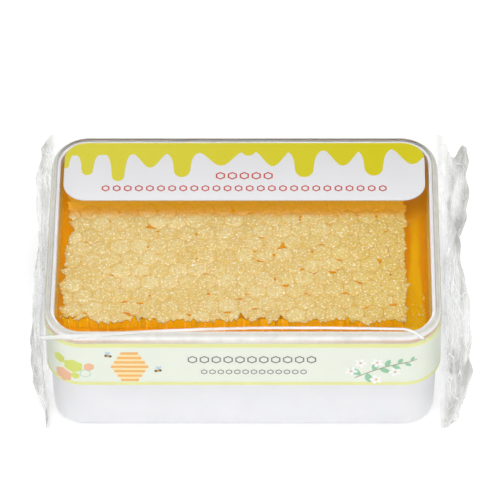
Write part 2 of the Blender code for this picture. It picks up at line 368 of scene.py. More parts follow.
def cell_honey():
    """The cut side of the comb: honey standing in open cells, with a painted glow that is stronger
    below the honey's surface.
    """
    finish = Finish("cell_honey", Roughness=0.25, Emission_Strength=0.3)
    shade = finish.grain(4 * MM, 2.0, stretch=(1.0, 1.0, 0.3))
    colour = finish.mix(shade, linear(244, 206, 16), linear(250, 224, 26))
    above = finish.rise(finish.axes()[2], HONEY_LEVEL - 0.7 * MM, HONEY_LEVEL - 0.1 * MM)
    finish.set(Base_Color=finish.mix(above, colour, linear(216, 152, 20)))
    # painted light: an orange glow, strongest below the honey level, for the light the honey lets
    # through; darker amber above that level
    painted_glow = finish.mix(above, (0.96, 0.56, 0.01, 1.0), (0.4, 0.18, 0.0, 1.0))
    finish.set(Emission_Color=painted_glow)
    return finish.material


def wall_wax():
    """The wax walls that stand out of the comb's cut side, given a painted orange glow."""
    # painted light: an orange glow that lightens the walls, though they are no lamp
    finish = Finish(
        "wall_wax", Roughness=0.5, Emission_Color=(1.0, 0.6, 0.06, 1.0), Emission_Strength=0.3,
    )
    shade = finish.grain(1.5 * MM, 2.0)
    finish.set(Base_Color=finish.mix(shade, linear(244, 214, 120), linear(250, 232, 168)))
    return finish.material


def bubble_gloss():
    # painted reflection: the bubbles are opaque pale balls whose colour stands in for the light they
    # catch
    finish = Finish("bubble_gloss", Roughness=0.12)
    shade = finish.grain(1.0 * MM)
    finish.set(Base_Color=finish.mix(shade, linear(250, 214, 110), linear(255, 240, 190)))
    return finish.material


def label_paper(name, colour):
    """Printed film stock: a coat of colour with a faint tooth."""
    finish = Finish(name, Roughness=0.42)
    shade = finish.grain(12 * MM, 2.0)
    darker = tuple(0.95 * c for c in colour[:3]) + (1.0,)
    finish.set(Base_Color=finish.mix(shade, colour, darker))
    finish.bump(finish.grain(0.4 * MM, 2.0), 0.01 * MM)
    return finish.material


def crinkled_film():
    """Clear film: a faint gloss where it lies smooth, grey-white where it is crushed, with painted
    light: grey and white facet patches, white crease and streak lines, a highlight line along its
    top front fold and a faint glow.
    """
    # painted light: a faint white glow on the film, though it is no lamp
    finish = Finish(
        "crinkled_film", Roughness=0.2, Emission_Color=(1.0, 1.0, 0.98, 1.0), Emission_Strength=0.04,
    )
    crush = finish.attribute("crush")
    along = (1.0, 0.045, 0.3)
    streak = finish.grain(1.8 * MM, 4.0, stretch=along, roughness=0.55)
    # painted light and shade: soft grey and white patches for the facets of crushed film
    painted_facet_light = finish.rise(finish.grain(5 * MM, 1.0, stretch=(1.0, 0.2, 0.5)), 0.4, 0.58)
    # painted highlights: thin white lines along the film's streaks
    line = finish.maths("ABSOLUTE", finish.grain(3.2 * MM, 2.0, stretch=(1.0, 0.06, 0.35)) - 0.5)
    line = 1.0 - finish.rise(line, 0.0, 0.02)
    x, y, z = finish.axes()
    # painted highlight: a bright white line along the fold over the top front edge
    from_middle = (x - MIDDLE_X - 14 * MM) / (70 * MM)
    right_end = finish.rise(x, MIDDLE_X + 44 * MM, MIDDLE_X + 54 * MM)
    fold_y = FILM_FOLD - 3.2 * MM * from_middle * from_middle - 3.5 * MM * right_end
    off_fold = finish.maths("ABSOLUTE", y - fold_y)
    painted_fold_highlight = (1.0 - finish.rise(off_fold, 0.25 * MM, 0.5 * MM)) * finish.rise(z, 37 * MM, 38.5 * MM)
    painted_fold_highlight = painted_fold_highlight * (0.75 + 0.5 * finish.grain(16 * MM, 2.0))
    # painted highlights: thin white crease lines where the film is crushed
    bend = finish.maths("ABSOLUTE", finish.grain(13 * MM, 1.0, stretch=(1.0, 0.5, 0.7)) - 0.5)
    painted_crease_highlight = 1.0 - finish.rise(bend, 0.0, 0.012)
    white = finish.maths("MAXIMUM", finish.maths("MAXIMUM", painted_facet_light, painted_fold_highlight), painted_crease_highlight * crush)
    white = finish.maths("MAXIMUM", white, line * finish.rise(streak, 0.45, 0.5))
    finish.set(Base_Color=finish.mix(white, linear(144, 146, 138), linear(236, 237, 236)))
    cover = 0.003 + crush * (0.36 + 0.42 * finish.rise(streak, 0.36, 0.66) + 0.35 * line)
    cover = cover + painted_crease_highlight * crush * 0.35 + painted_fold_highlight * 0.9
    finish.bump(finish.grain(1.6 * MM, 2.0, stretch=along) * crush, 0.12 * MM)
    finish.thin(finish.maths("MINIMUM", cover, 0.95))
    return finish.material


def pale_floor():
    return Finish(
        "pale_floor", Base_Color=(0.93, 0.93, 0.93, 1.0), Roughness=0.9,
        Emission_Color=(1.0, 1.0, 1.0, 1.0), Emission_Strength=0.25,
    ).material


# ---------------------------------------------------------------- growing meshes

class Growth(Graph):
    """A tree of geometry nodes whose sizes are its named inputs."""

    KINDS = {int: "NodeSocketInt", float: "NodeSocketFloat", tuple: "NodeSocketVector"}

    def __init__(self, name, sizes):
        super().__init__(bpy.data.node_groups.new(name, "GeometryNodeTree"))
        interface = self.tree.interface
        interface.new_socket("Mesh", in_out="OUTPUT", socket_type="NodeSocketGeometry")
        for key, value in sizes.items():
            kind = self.KINDS[type(value)]
            interface.new_socket(key, in_out="INPUT", socket_type=kind).default_value = value
        given = self.add("NodeGroupInput").outputs
        self.size = {key: Term(self, given[key]) for key in sizes}
        self.position = self.term("GeometryNodeInputPosition")

    def random(self, low, high, seed, vector=False):
        """One draw for each element, with a fixed seed."""
        first, output = (0, 0) if vector else (2, 1)
        sockets = {first: low, first + 1: high, "Seed": seed}
        settings = {"data_type": "FLOAT_VECTOR" if vector else "FLOAT"}
        return self.term("FunctionNodeRandomValue", settings, sockets, output)

    def swirl(self, size):
        """A smooth drift through space, from -0.5 to 0.5 along each axis."""
        sockets = {"Vector": self.position, "Scale": 1 / size}
        colour = self.term("ShaderNodeTexNoise", {}, sockets, "Color")
        return self.vector_maths("SUBTRACT", colour, (0.5, 0.5, 0.5))

    def combined(self, **parts):
        return self.term("ShaderNodeCombineXYZ", {}, parts)

    def moved(self, geometry, offset):
        return self.term("GeometryNodeSetPosition", {}, {"Geometry": geometry, "Offset": offset})

    def strewn(self, points, thing, **sockets):
        sockets = {"Points": points, "Instance": thing, **sockets}
        copies = self.term("GeometryNodeInstanceOnPoints", {}, sockets)
        return self.term("GeometryNodeRealizeInstances", {}, {"Geometry": copies})

    def ends(self, geometry, material):
        """Closes the tree with its instances made real and its material set."""
        mesh = self.term("GeometryNodeRealizeInstances", {}, {"Geometry": geometry})
        mesh = self.term("GeometryNodeSetMaterial", {}, {"Geometry": mesh, "Material": material})
        self.join(mesh, self.add("NodeGroupOutput").inputs[0])
        return self.tree


def grown(name, tree, **inputs):
    """The plain mesh that a tree of geometry nodes makes."""
    holder = linked(name, bpy.data.meshes.new(name))
    modifier = holder.modifiers.new("grow", "NODES")
    modifier.node_group = tree
    for item in tree.interface.items_tree:
        if item.in_out == "INPUT" and item.name in inputs:
            modifier[item.identifier] = inputs[item.name]
    evaluated = holder.evaluated_get(bpy.context.evaluated_depsgraph_get())
    mesh = bpy.data.meshes.new_from_object(evaluated)
    bpy.data.objects.remove(holder)
    mesh.name = name
    return mesh


# ---------------------------------------------------------------- making meshes

def linked(name, data):
    """A new object of the scene: a mesh, a lamp or a camera."""
    obj = bpy.data.objects.new(name, data)
    bpy.context.scene.collection.objects.link(obj)
    return obj


def as_object(name, bm, material, smooth=40.0):
    """A finished piece at the origin, its place in its mesh and its faces outward."""
    bmesh.ops.recalc_face_normals(bm, faces=bm.faces)
    mesh = bpy.data.meshes.new(name)
    bm.to_mesh(mesh)
    bm.free()
    mesh.shade_smooth()
    mesh.set_sharp_from_angle(angle=math.radians(smooth))
    mesh.materials.append(material)
    return linked(name, mesh)


def join_rings(bm, rings, capped=True):
    """A skin over rings of vertices, each joined to the next, and over the two end ones."""
    for near, far in zip(rings, rings[1:]):
        for i in range(len(near)):
            j = (i + 1) % len(near)
            bm.faces.new((near[i], near[j], far[j], far[i]))
    if capped:
        bm.faces.new(rings[0])
        bm.faces.new(rings[-1])


def rounded_loop(half_x, half_y, corner, per_corner=14):
    """A rounded rectangle about the origin, anticlockwise from the right end of the front."""
    points = []
    for turn, (side_x, side_y) in enumerate(((1, -1), (1, 1), (-1, 1), (-1, -1))):
        centre = Vector((side_x * (half_x - corner), side_y * (half_y - corner)))
        for step in range(per_corner + 1):
            angle = math.pi / 2 * (turn - 1 + step / per_corner)
            points.append(centre + corner * Vector((math.cos(angle), math.sin(angle))))
    return points


def arc(inset, z, radius, start, stop, steps=6):
    """Points of a profile's rounding: a turn about (inset, z), angles in degrees."""
    turns = [math.radians(start + (stop - start) * i / steps) for i in range(steps + 1)]
    return [(inset + radius * math.cos(a), z + radius * math.sin(a)) for a in turns]


def lofted(profile, half=LID_HALF, corner=LID_CORNER, centre=(MIDDLE_X, 0.0)):
    """A closed body whose wall follows a profile of (inset, height) round a rounded rectangle."""
    bm = bmesh.new()
    rings = []
    for inset, z in profile:
        loop = rounded_loop(half[0] - inset, half[1] - inset, max(corner - inset, 0.4 * MM))
        rings.append([bm.verts.new((centre[0] + p.x, centre[1] + p.y, z)) for p in loop])
    join_rings(bm, rings)
    return bm


def reach_out(place):
    """How far out a place lies from the lid's outside wall; less than nothing inside it."""
    x = abs(place.x - MIDDLE_X) - LID_HALF[0] + LID_CORNER
    y = abs(place.y) - LID_HALF[1] + LID_CORNER
    if x > 0 and y > 0:
        return math.hypot(x, y) - LID_CORNER
    return max(x, y) - LID_CORNER


def make_tub(material):
    foot, rim = TUB[0][2], TUB[1][2]
    shoulder = LID[0][2] - 0.3 * MM
    ledge = COLLAR_INSET - 0.5 * MM
    draft = ledge + 0.35 * MM
    inside = COLLAR_INSET + TUB_WALL
    floor = foot + TUB_FLOOR
    profile = [(draft + 4 * MM, foot)]
    profile += arc(draft + 0.9 * MM, foot + 0.9 * MM, 0.9 * MM, 270, 180)
    profile += arc(ledge + 0.3 * MM, shoulder - 0.3 * MM, 0.3 * MM, 180, 90, 3)
    profile += [(COLLAR_INSET, shoulder)]
    profile += arc(COLLAR_INSET + 0.35 * MM, rim - 0.35 * MM, 0.35 * MM, 180, 90, 4)
    profile += arc(inside - 0.35 * MM, rim - 0.35 * MM, 0.35 * MM, 90, 0, 4)
    profile += arc(inside + 1.5 * MM, floor + 1.5 * MM, 1.5 * MM, 180, 270)
    bm = lofted(profile)
    outer = bm.verts.layers.float.new("outer")
    edge = COLLAR_INSET + 0.3 * MM
    for vertex in bm.verts:
        vertex[outer] = 1.0 if reach_out(vertex.co) > -edge else 0.0
    return as_object("moulded_tub", bm, material)


def make_lid(material):
    foot, top = LID[0][2], LID[1][2]
    profile = [(LID_WALL + 6 * MM, top - LID_WALL)]
    profile += arc(LID_WALL + 0.7 * MM, top - LID_WALL - 0.7 * MM, 0.7 * MM, 90, 180, 5)
    profile += [(LID_WALL, foot + 0.2 * MM), (LID_WALL - 0.2 * MM, foot)]
    profile += [(0.2 * MM, foot), (0.0, foot + 0.2 * MM)]
    profile += arc(1.7 * MM, top - 1.7 * MM, 1.7 * MM, 180, 90, 8)
    profile += [(6 * MM, top)]
    bm = lofted(profile)
    drawn = bm.verts.layers.float.new("drawn")
    for vertex in bm.verts:
        vertex[drawn] = 1.0 if reach_out(vertex.co) > -1.3 * MM else 0.0
    return as_object("clear_lid", bm, material, 50.0)


def bubbles_tree(material):
    """Bubbles strewn through a small box, most of them tiny."""
    nowhere = (0.0, 0.0, 0.0)
    graph = Growth("bubbles", {"Count": 90, "Low": nowhere, "High": nowhere, "Size": 0.3 * MM})
    size = graph.size
    spread = graph.random(size["Low"], size["High"], 4, vector=True)
    points = graph.term("GeometryNodePoints", {}, {"Count": size["Count"], "Position": spread})
    scale = size["Size"] * (0.35 + graph.random(0.0, 1.0, 9) ** 4.0)
    ball = graph.term("GeometryNodeMeshIcoSphere", {}, {"Radius": 1.0, "Subdivisions": 2})
    return graph.ends(graph.strewn(points, ball, Scale=scale), material)


def make_bubbles(material):
    """Fine bubbles under the honey's surface, at the front of its right-hand channel."""
    front, edge = HONEY[0][1], HONEY[1][0] - 1.5 * MM
    low = (COMB_RIGHT + 0.8 * MM, front + 2.5 * MM, HONEY_LEVEL - 1.2 * MM)
    high = (edge, front + 18 * MM, HONEY_LEVEL - 0.1 * MM)
    mesh = grown("honey_bubbles", bubbles_tree(material), Low=low, High=high)
    mesh.shade_smooth()
    return linked("honey_bubbles", mesh)


def make_honey(clear, painted_glow_finish):
    """Clear honey, drawn up a little where it wets the tub, over the deep honey with its painted
    glow.
    """
    wall = COLLAR_INSET + TUB_WALL - 0.15 * MM
    low = TUB[0][2] + TUB_FLOOR - 0.1 * MM
    bed_top = HONEY_LEVEL - HONEY_CLEAR
    bed = [(wall + 5 * MM, low), (wall, low), (wall, bed_top), (wall + 5 * MM, bed_top)]
    deep = as_object("deep_honey", lofted(bed), painted_glow_finish)
    profile = [(wall + 5 * MM, bed_top - 0.3 * MM), (wall, bed_top - 0.3 * MM)]
    profile += [(wall, HONEY_LEVEL + 0.9 * MM)]
    rise = ((0.15, 0.75), (0.35, 0.45), (0.7, 0.22), (1.2, 0.08), (2.0, 0.0), (4.0, 0.0))
    profile += [(wall + out * MM, HONEY_LEVEL + up * MM) for out, up in rise]
    return as_object("clear_honey", lofted(profile), clear), deep


# ---------------------------------------------------------------- comb

def ragged(distance, seed):
    """How far a torn edge strays at this distance along a side of the comb."""
    waves = ((0.9, 9.0), (1.0, 3.0), (1.0, 1.1))
    return MM * sum(
        height * noise.noise(Vector((distance / (length * MM), seed, 0.0)))
        for height, length in waves
    )


def broken(distance, centre, half_width, depth):
    """A smooth bay of the given depth, centred at one place along a side."""
    reach = abs(distance - centre) / half_width
    return depth * math.cos(min(reach, 1.0) * math.pi / 2) ** 2


def overhang(x, y, torn=1.0):
    """How far a point lies outside the comb's outline, which way out is, and where the edge is."""
    width = COMB_RIGHT - COMB_LEFT
    depth = COMB_BACK - COMB_FRONT
    front = COMB_FRONT + torn * 2.4 * ragged(x - COMB_LEFT, 1)
    front += torn * broken(x, COMB_LEFT + 0.52 * width, 2.6 * MM, 2.0 * MM)
    back = COMB_BACK + torn * ragged(x - COMB_LEFT, 3)
    left = COMB_LEFT + torn * 1.5 * ragged(y - COMB_FRONT, 4)
    left += broken(y, COMB_FRONT + 0.58 * depth, 13.0 * MM, 1.9 * MM)
    right = COMB_RIGHT + torn * 1.1 * ragged(y - COMB_FRONT, 2)
    return max(
        (front - y, (0, -1), front), (y - back, (0, 1), back),
        (left - x, (-1, 0), left), (x - right, (1, 0), right),
    )


def capped_cells_tree(material):
    """A sheet of capped cells: a jittered lattice turned to its dual, each cell raised."""
    graph = Growth("capped_cells", {
        "Cell Pitch": CELL_PITCH, "Columns": 23.0, "Rows": 21.0, "Drift": 0.4 * MM,
        "Jitter": 0.14 * MM, "Cap Rise": 0.34 * MM, "Cap Share": 0.88,
    })
    size = graph.size
    pitch, columns, rows = size["Cell Pitch"], size["Columns"], size["Rows"]
    row_pitch = pitch * (math.sqrt(3) / 2)

    def stored(geometry, name, value, domain="POINT", selection=True):
        settings = {"data_type": "FLOAT", "domain": domain}
        sockets = {"Geometry": geometry, "Name": name, "Value": value, "Selection": selection}
        return graph.term("GeometryNodeStoreNamedAttribute", settings, sockets)

    grid = graph.term("GeometryNodeMeshGrid", {}, {
        "Size X": pitch * (columns - 1), "Size Y": row_pitch * (rows - 1),
        "Vertices X": columns, "Vertices Y": rows,
    })
    row = graph.maths("ROUND", graph.separate(graph.position)[1] / row_pitch)
    odd = graph.maths("MODULO", graph.maths("ABSOLUTE", row), 2.0)
    sheet = graph.moved(grid, graph.combined(X=odd * pitch * 0.5))
    shortest = {"quad_method": "SHORTEST_DIAGONAL"}
    sheet = graph.term("GeometryNodeTriangulate", shortest, {"Mesh": sheet})
    sheet = graph.moved(sheet, graph.scaled(graph.swirl(8 * MM), size["Drift"] * 2))
    shake = graph.random((-1, -1, -1), (1, 1, 1), 3, vector=True)
    sheet = graph.moved(sheet, graph.scaled(shake, size["Jitter"]))
    sheet = graph.term("GeometryNodeDualMesh", {}, {"Mesh": sheet})
    sheet = stored(sheet, "groove", 1.0)
    sheet = stored(sheet, "tone", graph.random(0.0, 1.0, 5), domain="FACE")
    raised = graph.add("GeometryNodeExtrudeMesh", {"mode": "FACES"}, {
        "Mesh": sheet, "Offset Scale": size["Cap Rise"] * graph.random(0.6, 1.25, 7),
        "Individual": True,
    })
    top = raised.outputs["Top"]
    shrunk = graph.term("GeometryNodeScaleElements", {"domain": "FACE"}, {
        "Geometry": raised.outputs["Mesh"], "Selection": top,
        "Scale": size["Cap Share"] * graph.random(0.92, 1.08, 9),
    })
    sheet = stored(shrunk, "groove", 0.0, selection=top)
    groove = graph.term("GeometryNodeInputNamedAttribute", {}, {"Name": "groove"})
    sheet = graph.term("GeometryNodeSubdivisionSurface", {}, {
        "Mesh": sheet, "Level": 2, "Edge Crease": graph.maths("GREATER_THAN", groove, 0.5) * 0.35,
    })
    rough = graph.term("ShaderNodeTexNoise", {}, {
        "Vector": graph.position, "Scale": 1 / (1.5 * MM), "Detail": 3.0,
    })
    sheet = graph.moved(sheet, graph.combined(Z=(rough - 0.5) * (0.9 * MM)))
    return graph.ends(sheet, material)


def make_caps(material, side_material):
    """The cut comb: capped cells on top, torn at the edge, and its cut sides below."""
    mesh = grown("comb_caps", capped_cells_tree(material))
    start = Vector((*CELL_START, COMB_TOP - 0.45 * MM))
    mesh.transform(Matrix.Translation(start) @ Matrix.Rotation(CELL_TURN, 4, "Z"))
    mesh.materials.append(side_material)
    bm = bmesh.new()
    bm.from_mesh(mesh)
    outside = [f for f in bm.faces if overhang(*f.calc_center_median().xy)[0] > 0]
    bmesh.ops.delete(bm, geom=outside, context="FACES")
    islands = [v for v in bm.verts if not v.link_faces]
    bmesh.ops.delete(bm, geom=islands, context="VERTS")
    for vertex in bm.verts:
        out, way, edge = overhang(*vertex.co.xy)
        if vertex.is_boundary:
            vertex.co[0 if way[0] else 1] = edge
        vertex.co.z -= 0.35 * MM * math.exp(min(out, 0.0) / (0.7 * MM))
    caps = set(bm.faces)
    edges = [e for e in bm.edges if e.is_boundary]
    edges = lowered(bm, edges, -0.4 * MM)
    for inset, drop in ((0.5 * MM, -0.3 * MM), (0.7 * MM, -0.8 * MM)):
        edges = lowered(bm, edges, drop, inset)
    edges = lowered(bm, edges, None, None, HONEY[0][2])
    bmesh.ops.contextual_create(bm, geom=edges)
    for face in bm.faces:
        if face not in caps:
            face.material_index = 1
    bmesh.ops.recalc_face_normals(bm, faces=bm.faces)
    bm.to_mesh(mesh)
    bm.free()
    mesh.shade_smooth()
    return linked("comb_caps", mesh)


def lowered(bm, edges, drop, inset=None, floor=None):
    """Draws a rim of edges down; given an inset, onto the smoother line that a knife leaves."""
    drawn = bmesh.ops.extrude_edge_only(bm, edges=edges)["geom"]
    for item in drawn:
        if isinstance(item, bmesh.types.BMVert):
            if inset is not None:
                _, way, edge = overhang(*item.co.xy, torn=0.25)
                axis = 0 if way[0] else 1
                item.co[axis] = edge - way[axis] * inset
            item.co.z = floor if drop is None else item.co.z + drop
    return [e for e in drawn if isinstance(e, bmesh.types.BMEdge) and e.is_boundary]


def cell_walls_tree(material):
    """A row of thin wax walls standing out of a cut side."""
    graph = Growth("cell_walls", {
        "Count": 18.0, "Spacing": CELL_PITCH, "Thickness": 0.3 * MM, "Depth": 1.3 * MM,
        "Height": 30.0 * MM, "Seed": 1.0,
    })
    size = graph.size
    line = graph.term("GeometryNodeMeshLine", {}, {
        "Count": size["Count"], "Offset": graph.combined(X=size["Spacing"]),
    })
    dims = graph.combined(X=size["Thickness"], Y=size["Depth"], Z=size["Height"])
    slab = graph.term("GeometryNodeMeshCube", {}, {
        "Size": dims, "Vertices X": 2, "Vertices Y": 2, "Vertices Z": 14,
    })
    lean = (0.02, 0.012, 0.12)
    turn = graph.random(tuple(-a for a in lean), lean, size["Seed"], vector=True)
    walls = graph.strewn(line, slab, Rotation=turn)
    wave = graph.vector_maths("MULTIPLY", graph.swirl(3.5 * MM), (1.1 * MM, 0.5 * MM, 0.0))
    return graph.ends(graph.moved(walls, wave), material)


def make_cell_walls(material):
    """Wax walls where the knife opened the cells, a little proud of the honey between them."""
    height = HONEY_LEVEL - 0.5 * MM - HONEY[0][2]
    count = math.floor((COMB_RIGHT - COMB_LEFT) / CELL_PITCH)
    mesh = grown("cell_walls", cell_walls_tree(material), Count=float(count), Height=height)
    start = (COMB_LEFT + 0.4 * CELL_PITCH, COMB_FRONT + 0.75 * MM, HONEY[0][2] + height / 2)
    mesh.transform(Matrix.Translation(start))
    return linked("cell_walls", mesh)


# ---------------------------------------------------------------- labels

def make_top_label(material):
    low, high = TOP_LABEL
    half = ((high[0] - low[0]) / 2, (high[1] - low[1] - LABEL_SHORT) / 2)
    centre = ((high[0] + low[0]) / 2, (high[1] + low[1] - LABEL_SHORT) / 2)
    profile = [(0.0, LID[1][2] + 0.02 * MM), (0.0, high[2] - 0.02 * MM), (0.03 * MM, high[2])]
    return as_object("top_label_sheet", lofted(profile, half, LABEL_CORNER, centre), material)


def sleeve(name, low, high, near, far, material):
    """A thin sleeve round the lid, between two heights and two distances out from it."""
    bm = bmesh.new()
    rings = []
    for out, z in ((near, low), (near, high), (far, high), (far, low)):
        loop = rounded_loop(LID_HALF[0] + out, LID_HALF[1] + out, LID_CORNER + out, 20)
        rings.append([bm.verts.new((MIDDLE_X + p.x, p.y, z)) for p in loop])
    join_rings(bm, rings + rings[:1], capped=False)
    return as_object(name, bm, material)


def wrapped(along, z, out):
    """A place on the band: a distance along it from the middle of the front, and a height."""
    flat = LID_HALF[0] - LID_CORNER
    side = 1 if along > 0 else -1
    turn = max(0.0, abs(along) - flat) / LID_CORNER
    radius = LID_CORNER + out
    if not turn:
        return (MIDDLE_X + along, -LID_HALF[1] - out, z)
    x = flat + radius * math.sin(turn)
    return (MIDDLE_X + side * x, -LID_HALF[1] + LID_CORNER - radius * math.cos(turn), z)


def on_lid(x, up, out):
    """A place on the top label, in millimetres from the middle of its front edge."""
    return (MIDDLE_X + x * MM, TOP_LABEL[0][1] + up * MM, TOP_LABEL[1][2] + out)


def on_band(along, up, out):
    """A place on the band, in millimetres from the middle of its front and up from its foot."""
    return wrapped(along * MM, BAND[0][2] + up * MM, BAND_OUT + out)


def printed(name, shapes, place, material, raised=0.0):
    """Fields of ink: each outline is laid on a label in rings, so that it follows a bend."""
    bm = bmesh.new()
    shares = (0.25, 0.6, 1.0)
    levels = [(share, 0.0) for share in shares] + [(share, INK) for share in reversed(shares)]
    for outline in shapes:
        middle = sum((Vector(p) for p in outline), Vector((0.0, 0.0))) / len(outline)
        rings = []
        for share, out in levels:
            points = [middle + share * (Vector(p) - middle) for p in outline]
            rings.append([bm.verts.new(place(p.x, p.y, raised + out)) for p in points])
        join_rings(bm, rings)
    return as_object(name, bm, material)


def turned(points, x, y, lean):
    """Points turned about the origin, then moved to (x, y)."""
    cos, sin = math.cos(lean), math.sin(lean)
    return [(x + a * cos - b * sin, y + a * sin + b * cos) for a, b in points]


def oval(x, y, half_x, half_y, sides=20, lean=0.0):
    turns = [2 * math.pi * i / sides for i in range(sides)]
    return turned([(half_x * math.cos(a), half_y * math.sin(a)) for a in turns], x, y, lean)


def hexagon(x, y, radius, squash=1.0):
    """Points up, its six sides cut fine enough to bend."""
    corners = oval(0.0, 0.0, radius, radius, 6, math.pi / 6)
    points = []
    for (ax, ay), (bx, by) in zip(corners, corners[1:] + corners[:1]):
        for t in (0, 1 / 3, 2 / 3):
            points.append((x + ax + (bx - ax) * t, y + squash * (ay + (by - ay) * t)))
    return points


def hexagon_lines(x, y, radius, line):
    """The six strokes of a hexagon's outline."""
    outer = oval(x, y, radius, radius, 6, math.pi / 6)
    inner = oval(x, y, radius - line, radius - line, 6, math.pi / 6)
    return [[outer[i - 1], outer[i], inner[i], inner[i - 1]] for i in range(6)]


def row_of_cells(count, middle, up, spacing, radius, line):
    cells = []
    for i in range(count):
        cells += hexagon_lines(middle + (i - (count - 1) / 2) * spacing, up, radius, line)
    return cells


def leaf(x, y, length, width, lean):
    shares = [i / 8 for i in range(9)]
    points = [(t * length, width / 2 * math.sin(math.pi * t) ** 0.8) for t in shares]
    points += [(t, -w) for t, w in points[-2:0:-1]]
    return turned(points, x, y, lean)


def drip_depth(x):
    """How far the printed honey runs down the top label at this distance along it."""
    width = TOP_LABEL[1][0] - TOP_LABEL[0][0]
    top = (5.6 - 2.8 * x / width) * MM
    depth = top
    for centre, half, length in DRIPS:
        share = abs(x - centre) / half
        if half > 3 * MM:
            swell = math.cos(min(share, 1.0) * math.pi / 2) ** 1.6
            depth = max(depth, top + (length - top) * swell)
        elif share <= 1:
            depth = max(depth, length - 1.3 * half * (1 - math.sqrt(1 - share * share)))
        elif share < 2:
            flare = 1 - math.sqrt(max(0.0, 1 - (2 - share) ** 2))
            depth = max(depth, top + (length - top - 1.3 * half) * flare)
    return depth


# Where each printed drip is along the top label, its half width and its length
DRIPS = [
    (at * MM, half * MM, length * MM) for at, half, length in (
        (0.4, 1.0, 10.6), (6.6, 1.7, 13.4), (15.4, 1.9, 15.8), (24.5, 4.8, 10.4),
        (33.6, 2.4, 14.2), (44.7, 6.0, 9.6), (52.5, 2.2, 5.6), (59.5, 5.0, 9.8),
        (68.5, 2.7, 14.2), (79.5, 5.3, 9.6), (88.3, 2.7, 13.6), (99.4, 6.0, 9.0),
    )
]


def make_drips(material):
    """Printed honey running down from the top label's back edge."""
    low, high = TOP_LABEL
    bm = bmesh.new()
    columns = []
    steps = 420
    for i in range(steps + 1):
        x = low[0] + (high[0] - low[0]) * i / steps
        inward = min(x - low[0], high[0] - x)
        back = high[1]
        if inward < LABEL_CORNER:
            across = LABEL_CORNER - inward
            back -= LABEL_CORNER - math.sqrt(max(0.0, LABEL_CORNER ** 2 - across ** 2))
        front = min(back - 0.3 * MM, high[1] - drip_depth(x - low[0]))
        back -= LABEL_SHORT
        z = high[2]
        corners = [(front, z), (back, z), (back, z + INK), (front, z + INK)]
        columns.append([bm.verts.new((x, y, up)) for y, up in corners])
    for near, far in zip(columns, columns[1:]):
        for k in range(4):
            bm.faces.new((near[k], far[k], far[(k + 1) % 4], near[(k + 1) % 4]))
    bm.faces.new(columns[0])
    bm.faces.new(columns[-1])
    return as_object("printed_drips", bm, material)


def drip_ink():
    finish = Finish("drip_ink", Roughness=0.4)
    across = finish.rise(finish.axes()[0], TOP_LABEL[0][0], TOP_LABEL[1][0])
    colour = finish.mix(across, linear(226, 216, 66), linear(220, 208, 4))
    finish.set(Base_Color=finish.mix(finish.grain(6 * MM) * 0.15, colour, linear(240, 232, 90)))
    return finish.material


def icon_stripes(x, middle, radius, count=13):
    """The dark and the light stripes of a hexagon that stands on a flat side."""
    stripes = []
    for i in range(count):
        low, high = (radius * (2 * k / count - 1) for k in (i, i + 1))
        reach = min(0.92 * radius * (1 - 0.55 * abs(up) / radius) for up in (low, high))
        sides = ((-reach, low), (reach, low), (reach, high), (-reach, high))
        stripes.append([(x + a, middle + b) for a, b in sides])
    return stripes[::2], stripes[1::2]


def insects():
    """The bodies, bands and wings of two small insects."""
    bodies, bands, wings = [], [], []
    for x, up, way in ((-38.0, 12.0, 1), (-23.0, 6.0, -1)):
        spots = [oval(x + 0.62 * k * way, up - 0.12 * k, 0.42, 0.5, 10) for k in range(3)]
        bodies += [spots[0], spots[2]]
        bands.append(spots[1])
        wings += [leaf(x + 0.5 * way, up + 0.4, 1.5, 0.7, lean) for lean in (1.1, 2.0)]
    return bodies, bands, wings


def sprig(count=9):
    """A climbing stem, and leaves to both sides of it that grow smaller upward."""
    def place(t):
        return 31.0 + 15.5 * t, 3.0 + 6.4 * t + 0.9 * math.sin(3 * t)

    stem, leaves = [], []
    wide = 0.16
    for i in range(count + 1):
        t = i / count
        (ax, ay), (bx, by) = place(t), place(t + 1 / count)
        stem.append([(ax, ay - wide), (bx, by - wide), (bx, by + wide), (ax, ay + wide)])
        if i > 0:
            side = 1 if i % 2 else -1
            spread = 0.85 if i > 2 else 1.85
            lean = math.atan2(by - ay, bx - ax) + side * spread
            length = 4.6 - 2.6 * t
            leaves.append(leaf(ax, ay, length, 0.5 * length, lean))
    return stem, leaves


def blossoms():
    petals, hearts = [], []
    for x, up in ((30.0, 5.8), (32.6, 9.0), (37.2, 9.2), (42.2, 5.4), (37.0, 2.3)):
        for k in range(5):
            turn = k * 2 * math.pi / 5 + x
            place = (x + math.cos(turn), up + math.sin(turn))
            petals.append(oval(*place, 0.85, 0.55, 10, turn))
        hearts.append(oval(x, up, 0.42, 0.42, 8))
    return petals, hearts


